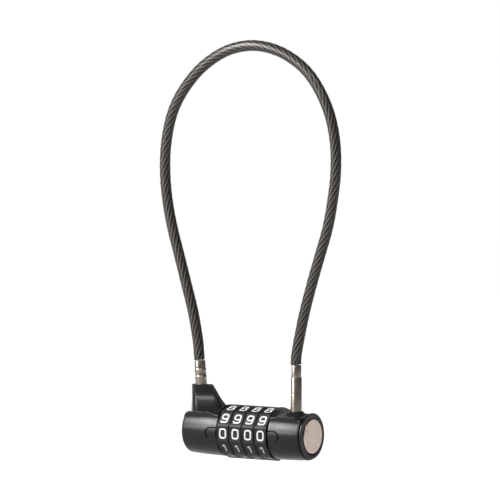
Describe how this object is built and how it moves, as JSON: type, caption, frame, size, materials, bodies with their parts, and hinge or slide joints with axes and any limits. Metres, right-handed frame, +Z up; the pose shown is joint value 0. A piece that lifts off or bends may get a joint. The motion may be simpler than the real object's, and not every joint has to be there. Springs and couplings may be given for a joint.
{
  "type": "cable combination lock",
  "caption": "Barrel combination lock with numbered dials, a push button at one end and a jacketed steel cable loop that plugs into the barrel.",
  "frame": {"origin": "inner top of the cable loop, where the lock hangs on a bar or hook, in the middle plane", "axes": "+X along the barrel from the fixed cable end to the push button, -Y the side the dials are read from, +Z up from the barrel to the top of the cable loop"},
  "size_m": [0.0919, 0.0224, 0.1818],
  "materials": {
    "housing_black": "satin",
    "ring_black": "satin",
    "dial_black": "satin",
    "button_champagne": "satin",
    "plated_steel": "gloss",
    "plain_steel": "satin",
    "spring_steel": "satin",
    "brass": "satin",
    "cable_jacket": "gloss"
  },
  "bodies": {
    "barrel": {"left_housing": "housing_black", "right_housing": "housing_black", "left_end_cap": "housing_black", "end_ring": "ring_black", "core_tube": "plain_steel", "core_pin_left": "plain_steel", "core_pin_right": "plain_steel", "fixed_ferrule": "plated_steel", "ferrule_pin": "plain_steel", "click_strip": "spring_steel", "latch_clip": "spring_steel", "return_spring": "spring_steel", "reset_spring": "spring_steel", "cable": "cable_jacket"},
    "dial_1_drum": {"dial_1": "dial_black"},
    "dial_1_core": {"dial_sleeve_1": "brass"},
    "dial_2_drum": {"dial_2": "dial_black"},
    "dial_2_core": {"dial_sleeve_2": "brass"},
    "dial_3_drum": {"dial_3": "dial_black"},
    "dial_3_core": {"dial_sleeve_3": "brass"},
    "dial_4_drum": {"dial_4": "dial_black"},
    "dial_4_core": {"dial_sleeve_4": "brass"},
    "plunger": {"reset_plunger": "plain_steel"},
    "button": {"release_button": "button_champagne", "spindle": "plain_steel", "spindle_clip": "spring_steel"},
    "plug": {"plug_pin": "plated_steel"}
  },
  "joints": [
    {"name": "dial_1_turn", "type": "hinge", "parent": "barrel", "child": "dial_1_drum", "pos_m": [-0.00897, 0, -0.1653], "axis": [1, 0, 0], "continuous": true},
    {"name": "dial_2_turn", "type": "hinge", "parent": "barrel", "child": "dial_2_drum", "pos_m": [-0.0026, 0, -0.1653], "axis": [1, 0, 0], "continuous": true},
    {"name": "dial_3_turn", "type": "hinge", "parent": "barrel", "child": "dial_3_drum", "pos_m": [0.00378, 0, -0.1653], "axis": [1, 0, 0], "continuous": true},
    {"name": "dial_4_turn", "type": "hinge", "parent": "barrel", "child": "dial_4_drum", "pos_m": [0.01014, 0, -0.1653], "axis": [1, 0, 0], "continuous": true},
    {"name": "reset_push", "type": "slide", "parent": "barrel", "child": "plunger", "axis": [1, 0, 0], "range_m": [0, 0.0012], "stiffness_N_per_m": 600, "springref_m": -0.001, "deforming": ["reset_spring"]},
    {"name": "sleeve_1_slide", "type": "slide", "parent": "dial_1_drum", "child": "dial_1_core", "axis": [1, 0, 0], "range_m": [0, 0.0012]},
    {"name": "sleeve_2_slide", "type": "slide", "parent": "dial_2_drum", "child": "dial_2_core", "axis": [1, 0, 0], "range_m": [0, 0.0012]},
    {"name": "sleeve_3_slide", "type": "slide", "parent": "dial_3_drum", "child": "dial_3_core", "axis": [1, 0, 0], "range_m": [0, 0.0012]},
    {"name": "sleeve_4_slide", "type": "slide", "parent": "dial_4_drum", "child": "dial_4_core", "axis": [1, 0, 0], "range_m": [0, 0.0012]},
    {"name": "button_push", "type": "slide", "parent": "barrel", "child": "button", "axis": [-1, 0, 0], "range_m": [0, 0.0021], "stiffness_N_per_m": 500, "springref_m": -0.0015, "deforming": ["return_spring", "latch_clip"]},
    {"name": "plug_pull", "type": "slide", "parent": "barrel", "child": "plug", "axis": [0, 0, 1], "range_m": [0, 0.012], "deforming": ["cable", "latch_clip"]}
  ],
  "couplings": [
    {"joint": "sleeve_1_slide", "follows": "reset_push", "ratio": 1},
    {"joint": "sleeve_2_slide", "follows": "reset_push", "ratio": 1},
    {"joint": "sleeve_3_slide", "follows": "reset_push", "ratio": 1},
    {"joint": "sleeve_4_slide", "follows": "reset_push", "ratio": 1}
  ]
}
